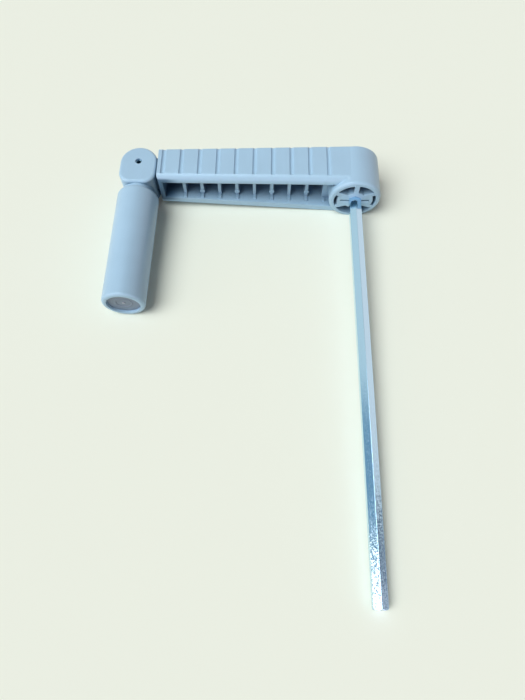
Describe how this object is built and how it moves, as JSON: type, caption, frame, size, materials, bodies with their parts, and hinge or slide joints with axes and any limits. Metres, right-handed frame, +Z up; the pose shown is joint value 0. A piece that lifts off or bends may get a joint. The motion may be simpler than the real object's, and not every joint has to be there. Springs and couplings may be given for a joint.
{
  "type": "folding crank handle",
  "caption": "Folding crank handle for a blind: ribbed arm, hexagonal drive rod and a turning grip on a folding knuckle.",
  "frame": {"origin": "on the drive rod's axis, at the flat back face of the hub", "axes": "-Y along the drive rod from the hub to its free end, -X along the arm from the hub to the folding hinge, +Z up from the side that the handle lies on"},
  "size_m": [0.1612, 0.2562, 0.0312],
  "materials": {
    "moulded_plastic": "satin moulded polyamide, pale blue-grey",
    "grip_plastic": "satin moulded polyamide, pale blue-grey",
    "cap_plastic": "satin moulded polyamide, a darker blue-grey",
    "zinc_plated_steel": "zinc-plated drawn bar with a fine spangle",
    "bright_steel": "bright plain steel"
  },
  "bodies": {
    "arm": {"arm": "moulded_plastic", "drive_rod": "zinc_plated_steel"},
    "knuckle": {"knuckle": "moulded_plastic", "hinge_pin": "bright_steel", "spindle_washer": "bright_steel", "spindle_screw": "bright_steel"},
    "grip": {"grip_sleeve": "grip_plastic", "end_cap": "cap_plastic"}
  },
  "joints": [
    {"name": "grip_fold", "type": "hinge", "parent": "arm", "child": "knuckle", "pos_m": [-0.13175, -0.00885, 0], "axis": [0, 0, -1], "range_deg": [-0.9, 179.1]},
    {"name": "grip_spin", "type": "hinge", "parent": "knuckle", "child": "grip", "pos_m": [-0.13175, -0.00885, 0], "axis": [-0.0157, -0.9999, 0], "continuous": true}
  ]
}
